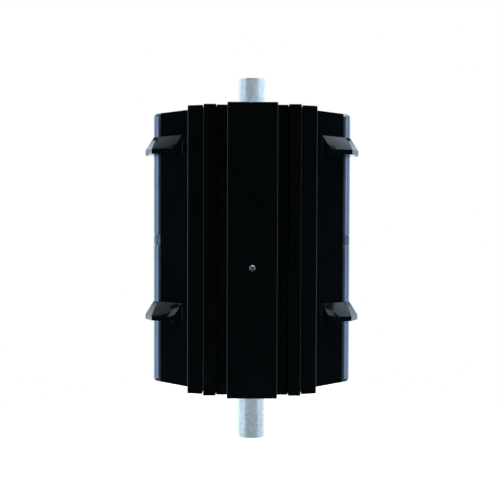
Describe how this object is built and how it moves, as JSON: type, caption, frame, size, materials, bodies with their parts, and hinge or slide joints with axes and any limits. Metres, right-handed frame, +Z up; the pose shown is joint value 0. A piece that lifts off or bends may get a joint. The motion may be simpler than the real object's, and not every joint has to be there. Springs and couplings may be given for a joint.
{
  "type": "vertical axis turbine",
  "caption": "Closed drum rotor of glossy black panels and stepped vertical slats that turns on a fixed galvanised pipe mast, with a permanent magnet generator inside.",
  "frame": {"origin": "centre of the mast's foot, on the axis of rotation", "axes": "+Z up along the mast, front spine of the drum towards -Y, +X to the right seen from the front"},
  "size_m": [0.377, 0.3564, 0.634],
  "materials": {
    "galvanised_steel": "hot dip galvanised, faint spangle",
    "blackened_steel": "oil blackened",
    "plated_collar": "turned and zinc plated",
    "bearing_steel": "ground",
    "raw_aluminium": "machined",
    "lamination_steel": "stacked laminations, lacquered",
    "copper_winding": "enamelled copper wire",
    "black_rubber": "matte",
    "yoke_steel": "zinc plated",
    "nickel_magnet": "nickel plated",
    "stainless_fastener": "stainless",
    "lug_moulding": "gloss black moulding",
    "corner_tube_coat": "gloss black coating",
    "clip_moulding": "satin black",
    "gloss_black_coat": "gloss black coating on sheet"
  },
  "bodies": {
    "mast": {"mast_tube": "galvanised_steel", "retaining_rings": "blackened_steel", "upper_collar": "plated_collar", "lower_collar": "plated_collar", "upper_sleeve": "bearing_steel", "lower_sleeve": "bearing_steel", "grub_screws": "blackened_steel", "upper_inner_race": "bearing_steel", "lower_inner_race": "bearing_steel", "upper_balls": "bearing_steel", "lower_balls": "bearing_steel", "stator_hub": "raw_aluminium", "stator_core": "lamination_steel", "stator_coils": "copper_winding", "cable_grommet": "black_rubber"},
    "rotor": {"upper_outer_race": "bearing_steel", "lower_outer_race": "bearing_steel", "upper_hub": "raw_aluminium", "lower_hub": "raw_aluminium", "upper_spider": "raw_aluminium", "lower_spider": "raw_aluminium", "hub_bolts": "stainless_fastener", "magnet_carrier": "raw_aluminium", "magnet_yoke": "yoke_steel", "magnets": "nickel_magnet", "upper_end_plate": "raw_aluminium", "lower_end_plate": "raw_aluminium", "front_post": "raw_aluminium", "rear_post": "raw_aluminium", "left_post": "raw_aluminium", "right_post": "raw_aluminium", "front_left_panel": "gloss_black_coat", "front_right_panel": "gloss_black_coat", "rear_left_panel": "gloss_black_coat", "rear_right_panel": "gloss_black_coat", "front_spine": "gloss_black_coat", "rear_spine": "gloss_black_coat", "spine_screws": "stainless_fastener", "front_left_inner_slat": "gloss_black_coat", "front_left_middle_slat": "gloss_black_coat", "front_left_outer_slat": "gloss_black_coat", "front_right_inner_slat": "gloss_black_coat", "front_right_middle_slat": "gloss_black_coat", "front_right_outer_slat": "gloss_black_coat", "rear_left_inner_slat": "gloss_black_coat", "rear_left_middle_slat": "gloss_black_coat", "rear_left_outer_slat": "gloss_black_coat", "rear_right_inner_slat": "gloss_black_coat", "rear_right_middle_slat": "gloss_black_coat", "rear_right_outer_slat": "gloss_black_coat", "left_corner_tube": "corner_tube_coat", "right_corner_tube": "corner_tube_coat", "left_corner_clip": "clip_moulding", "right_corner_clip": "clip_moulding", "upper_left_lug": "lug_moulding", "upper_right_lug": "lug_moulding", "lower_left_lug": "lug_moulding", "lower_right_lug": "lug_moulding", "lug_screws": "stainless_fastener"}
  },
  "joints": [
    {"name": "rotor_spin", "type": "hinge", "parent": "mast", "child": "rotor", "pos_m": [0, 0, 0.3355], "axis": [0, 0, 1], "continuous": true}
  ]
}
